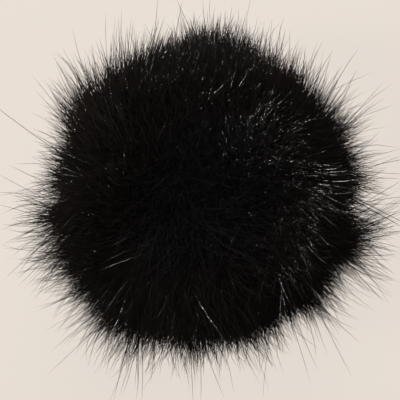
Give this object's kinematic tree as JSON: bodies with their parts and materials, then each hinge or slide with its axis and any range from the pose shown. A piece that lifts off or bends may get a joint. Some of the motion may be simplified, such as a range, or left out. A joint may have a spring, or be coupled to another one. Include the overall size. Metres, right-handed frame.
{
  "type": "furry microphone windscreen",
  "caption": "Ball-shaped basket windscreen for a slim microphone, inside a slip-on long-pile fur cover drawn shut by a cord with a spring lock.",
  "frame": {"origin": "centre of the collar's open end, on the flat face that the object stands on", "axes": "+Z along the microphone's axis, from the collar to the crown of the ball; the drawcord leaves the neck towards -Y"},
  "size_m": [0.1338, 0.1338, 0.131],
  "materials": {
    "fur": "long-pile black faux fur",
    "tape": "woven black hem tape",
    "cord": "braided black elastic cord",
    "gauze": "fine black acoustic gauze",
    "basket_plastic": "moulded black, fine texture",
    "clamp_plastic": "moulded black, satin",
    "lock_plastic": "moulded black, satin",
    "nylon": "natural nylon",
    "rubber": "matt black rubber",
    "steel": "nickel-plated"
  },
  "bodies": {
    "ball": {"front_basket": "basket_plastic", "front_gauze": "gauze", "front_rim": "basket_plastic", "rear_basket": "basket_plastic", "rear_gauze": "gauze", "rear_rim": "basket_plastic", "rim_seal": "rubber", "collar": "clamp_plastic", "grip_sleeve": "rubber", "collar_screw_1": "steel", "collar_screw_2": "steel", "collar_screw_3": "steel", "collar_screw_4": "steel"},
    "cover": {"fur_panel_1": "fur", "fur_panel_2": "fur", "fur_panel_3": "fur", "fur_panel_4": "fur", "fur_panel_5": "fur", "fur_panel_6": "fur", "neck_binding": "tape", "cord_eyelet": "steel", "drawcord": "cord", "cord_end": "lock_plastic"},
    "cord_lock": {"cord_lock_body": "lock_plastic", "cord_lock_spring": "steel"},
    "lock_button": {"cord_lock_plunger": "lock_plastic"},
    "taper_ring": {"compression_ring": "nylon"},
    "nut": {"clamp_nut": "clamp_plastic"}
  },
  "joints": [
    {"name": "cover_lift", "type": "slide", "parent": "ball", "child": "cover", "axis": [0, 0, 1], "range_m": [0, 0.11], "deforming": ["fur_panel_1", "fur_panel_2", "fur_panel_3", "fur_panel_4", "fur_panel_5", "fur_panel_6", "neck_binding", "cord_eyelet", "drawcord"]},
    {"name": "lock_slide", "type": "slide", "parent": "cover", "child": "cord_lock", "axis": [0, 0.9462, 0.3236], "range_m": [0, 0.018]},
    {"name": "button_press", "type": "slide", "parent": "cord_lock", "child": "lock_button", "axis": [-1, 0, 0], "range_m": [0, 0.002], "stiffness_N_per_m": 120, "springref_m": -0.002, "deforming": ["cord_lock_spring"]},
    {"name": "ring_climb", "type": "slide", "parent": "ball", "child": "taper_ring", "axis": [0, 0, 1], "range_m": [0, 0.0015]},
    {"name": "nut_turn", "type": "hinge", "parent": "taper_ring", "child": "nut", "pos_m": [0, 0, 0.007], "axis": [0, 0, 1], "range_deg": [0, 180]}
  ],
  "couplings": [
    {"joint": "ring_climb", "follows": "nut_turn", "m_per_rad": 0.00047746}
  ]
}
